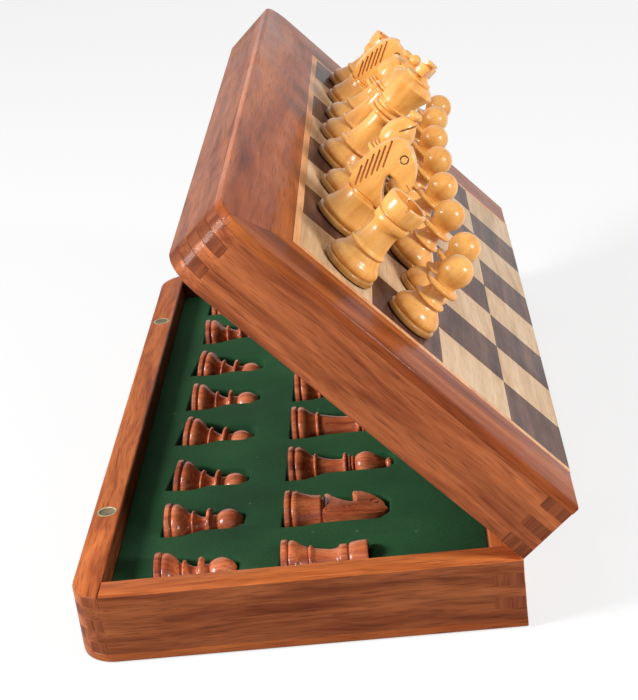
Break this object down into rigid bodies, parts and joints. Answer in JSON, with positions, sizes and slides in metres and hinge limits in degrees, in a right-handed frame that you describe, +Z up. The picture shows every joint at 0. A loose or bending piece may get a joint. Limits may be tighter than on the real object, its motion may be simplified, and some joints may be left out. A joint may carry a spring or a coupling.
{
  "type": "travel chess box",
  "caption": "Folding wooden travel chess box with a hinged lid: half a board on each outer face, felt-lined pockets inside, dark men lying in the tray and white men standing on the lid.",
  "frame": {"origin": "centre of the tray's underside, where the box stands on the table", "axes": "+X from the free edge to the hinge edge, +Y along the hinge from the near end to the far end, +Z up"},
  "size_m": [0.143, 0.254, 0.1336],
  "materials": {
    "walnut": "lacquered reddish wood",
    "pale_line": "lacquered pale wood",
    "light_squares": "lacquered pale wood",
    "dark_squares": "lacquered dark wood",
    "steel": "plain sheet",
    "green_felt": "dark green felt",
    "magnet": "dull plated disc",
    "brass": "polished",
    "boxwood": "polished pale boxwood",
    "rosewood": "polished red-brown wood"
  },
  "bodies": {
    "tray": {"tray_free_rail": "walnut", "tray_hinge_rail": "walnut", "tray_near_rail": "walnut", "tray_far_rail": "walnut", "tray_border": "walnut", "tray_line": "pale_line", "tray_light_squares": "light_squares", "tray_dark_squares": "dark_squares", "tray_steel_sheet": "steel", "tray_lining": "green_felt", "tray_magnets": "magnet", "tray_hinge_leaves": "brass", "hinge_pins": "brass", "tray_hinge_screws": "brass"},
    "lid": {"lid_free_rail": "walnut", "lid_hinge_rail": "walnut", "lid_near_rail": "walnut", "lid_far_rail": "walnut", "lid_border": "walnut", "lid_line": "pale_line", "lid_light_squares": "light_squares", "lid_dark_squares": "dark_squares", "lid_steel_sheet": "steel", "lid_lining": "green_felt", "lid_magnets": "magnet", "lid_hinge_leaves": "brass", "lid_hinge_screws": "brass"},
    "white_rook_h": {"white_rook_h": "boxwood"},
    "white_knight_g": {"white_knight_g": "boxwood"},
    "white_bishop_f": {"white_bishop_f": "boxwood"},
    "white_king_e": {"white_king_e": "boxwood"},
    "white_queen_d": {"white_queen_d": "boxwood"},
    "white_bishop_c": {"white_bishop_c": "boxwood"},
    "white_knight_b": {"white_knight_b": "boxwood"},
    "white_rook_a": {"white_rook_a": "boxwood"},
    "white_pawn_h": {"white_pawn_h": "boxwood"},
    "white_pawn_g": {"white_pawn_g": "boxwood"},
    "white_pawn_f": {"white_pawn_f": "boxwood"},
    "white_pawn_e": {"white_pawn_e": "boxwood"},
    "white_pawn_d": {"white_pawn_d": "boxwood"},
    "white_pawn_c": {"white_pawn_c": "boxwood"},
    "white_pawn_b": {"white_pawn_b": "boxwood"},
    "white_pawn_a": {"white_pawn_a": "boxwood"},
    "dark_rook_1": {"dark_rook_1": "rosewood"},
    "dark_knight_2": {"dark_knight_2": "rosewood"},
    "dark_bishop_3": {"dark_bishop_3": "rosewood"},
    "dark_king_4": {"dark_king_4": "rosewood"},
    "dark_queen_5": {"dark_queen_5": "rosewood"},
    "dark_bishop_6": {"dark_bishop_6": "rosewood"},
    "dark_knight_7": {"dark_knight_7": "rosewood"},
    "dark_rook_8": {"dark_rook_8": "rosewood"},
    "dark_pawn_1": {"dark_pawn_1": "rosewood"},
    "dark_pawn_2": {"dark_pawn_2": "rosewood"},
    "dark_pawn_3": {"dark_pawn_3": "rosewood"},
    "dark_pawn_4": {"dark_pawn_4": "rosewood"},
    "dark_pawn_5": {"dark_pawn_5": "rosewood"},
    "dark_pawn_6": {"dark_pawn_6": "rosewood"},
    "dark_pawn_7": {"dark_pawn_7": "rosewood"},
    "dark_pawn_8": {"dark_pawn_8": "rosewood"}
  },
  "joints": [
    {"name": "lid_hinge", "type": "hinge", "parent": "tray", "child": "lid", "pos_m": [0.06365, 0, 0.0215], "axis": [0, 1, 0], "range_deg": [-48, 132]},
    {"name": "white_rook_h_lift", "type": "slide", "parent": "lid", "child": "white_rook_h", "axis": [0.7431, 0, 0.6691], "range_m": [0, 0.015]},
    {"name": "white_knight_g_lift", "type": "slide", "parent": "lid", "child": "white_knight_g", "axis": [0.7431, 0, 0.6691], "range_m": [0, 0.015]},
    {"name": "white_bishop_f_lift", "type": "slide", "parent": "lid", "child": "white_bishop_f", "axis": [0.7431, 0, 0.6691], "range_m": [0, 0.015]},
    {"name": "white_king_e_lift", "type": "slide", "parent": "lid", "child": "white_king_e", "axis": [0.7431, 0, 0.6691], "range_m": [0, 0.015]},
    {"name": "white_queen_d_lift", "type": "slide", "parent": "lid", "child": "white_queen_d", "axis": [0.7431, 0, 0.6691], "range_m": [0, 0.015]},
    {"name": "white_bishop_c_lift", "type": "slide", "parent": "lid", "child": "white_bishop_c", "axis": [0.7431, 0, 0.6691], "range_m": [0, 0.015]},
    {"name": "white_knight_b_lift", "type": "slide", "parent": "lid", "child": "white_knight_b", "axis": [0.7431, 0, 0.6691], "range_m": [0, 0.015]},
    {"name": "white_rook_a_lift", "type": "slide", "parent": "lid", "child": "white_rook_a", "axis": [0.7431, 0, 0.6691], "range_m": [0, 0.015]},
    {"name": "white_pawn_h_lift", "type": "slide", "parent": "lid", "child": "white_pawn_h", "axis": [0.7431, 0, 0.6691], "range_m": [0, 0.015]},
    {"name": "white_pawn_g_lift", "type": "slide", "parent": "lid", "child": "white_pawn_g", "axis": [0.7431, 0, 0.6691], "range_m": [0, 0.015]},
    {"name": "white_pawn_f_lift", "type": "slide", "parent": "lid", "child": "white_pawn_f", "axis": [0.7431, 0, 0.6691], "range_m": [0, 0.015]},
    {"name": "white_pawn_e_lift", "type": "slide", "parent": "lid", "child": "white_pawn_e", "axis": [0.7431, 0, 0.6691], "range_m": [0, 0.015]},
    {"name": "white_pawn_d_lift", "type": "slide", "parent": "lid", "child": "white_pawn_d", "axis": [0.7431, 0, 0.6691], "range_m": [0, 0.015]},
    {"name": "white_pawn_c_lift", "type": "slide", "parent": "lid", "child": "white_pawn_c", "axis": [0.7431, 0, 0.6691], "range_m": [0, 0.015]},
    {"name": "white_pawn_b_lift", "type": "slide", "parent": "lid", "child": "white_pawn_b", "axis": [0.7431, 0, 0.6691], "range_m": [0, 0.015]},
    {"name": "white_pawn_a_lift", "type": "slide", "parent": "lid", "child": "white_pawn_a", "axis": [0.7431, 0, 0.6691], "range_m": [0, 0.015]},
    {"name": "dark_rook_1_lift", "type": "slide", "parent": "tray", "child": "dark_rook_1", "axis": [0, 0, 1], "range_m": [0, 0.022]},
    {"name": "dark_knight_2_lift", "type": "slide", "parent": "tray", "child": "dark_knight_2", "axis": [0, 0, 1], "range_m": [0, 0.022]},
    {"name": "dark_bishop_3_lift", "type": "slide", "parent": "tray", "child": "dark_bishop_3", "axis": [0, 0, 1], "range_m": [0, 0.022]},
    {"name": "dark_king_4_lift", "type": "slide", "parent": "tray", "child": "dark_king_4", "axis": [0, 0, 1], "range_m": [0, 0.022]},
    {"name": "dark_queen_5_lift", "type": "slide", "parent": "tray", "child": "dark_queen_5", "axis": [0, 0, 1], "range_m": [0, 0.022]},
    {"name": "dark_bishop_6_lift", "type": "slide", "parent": "tray", "child": "dark_bishop_6", "axis": [0, 0, 1], "range_m": [0, 0.022]},
    {"name": "dark_knight_7_lift", "type": "slide", "parent": "tray", "child": "dark_knight_7", "axis": [0, 0, 1], "range_m": [0, 0.022]},
    {"name": "dark_rook_8_lift", "type": "slide", "parent": "tray", "child": "dark_rook_8", "axis": [0, 0, 1], "range_m": [0, 0.022]},
    {"name": "dark_pawn_1_lift", "type": "slide", "parent": "tray", "child": "dark_pawn_1", "axis": [0, 0, 1], "range_m": [0, 0.022]},
    {"name": "dark_pawn_2_lift", "type": "slide", "parent": "tray", "child": "dark_pawn_2", "axis": [0, 0, 1], "range_m": [0, 0.022]},
    {"name": "dark_pawn_3_lift", "type": "slide", "parent": "tray", "child": "dark_pawn_3", "axis": [0, 0, 1], "range_m": [0, 0.022]},
    {"name": "dark_pawn_4_lift", "type": "slide", "parent": "tray", "child": "dark_pawn_4", "axis": [0, 0, 1], "range_m": [0, 0.022]},
    {"name": "dark_pawn_5_lift", "type": "slide", "parent": "tray", "child": "dark_pawn_5", "axis": [0, 0, 1], "range_m": [0, 0.022]},
    {"name": "dark_pawn_6_lift", "type": "slide", "parent": "tray", "child": "dark_pawn_6", "axis": [0, 0, 1], "range_m": [0, 0.022]},
    {"name": "dark_pawn_7_lift", "type": "slide", "parent": "tray", "child": "dark_pawn_7", "axis": [0, 0, 1], "range_m": [0, 0.022]},
    {"name": "dark_pawn_8_lift", "type": "slide", "parent": "tray", "child": "dark_pawn_8", "axis": [0, 0, 1], "range_m": [0, 0.022]}
  ]
}
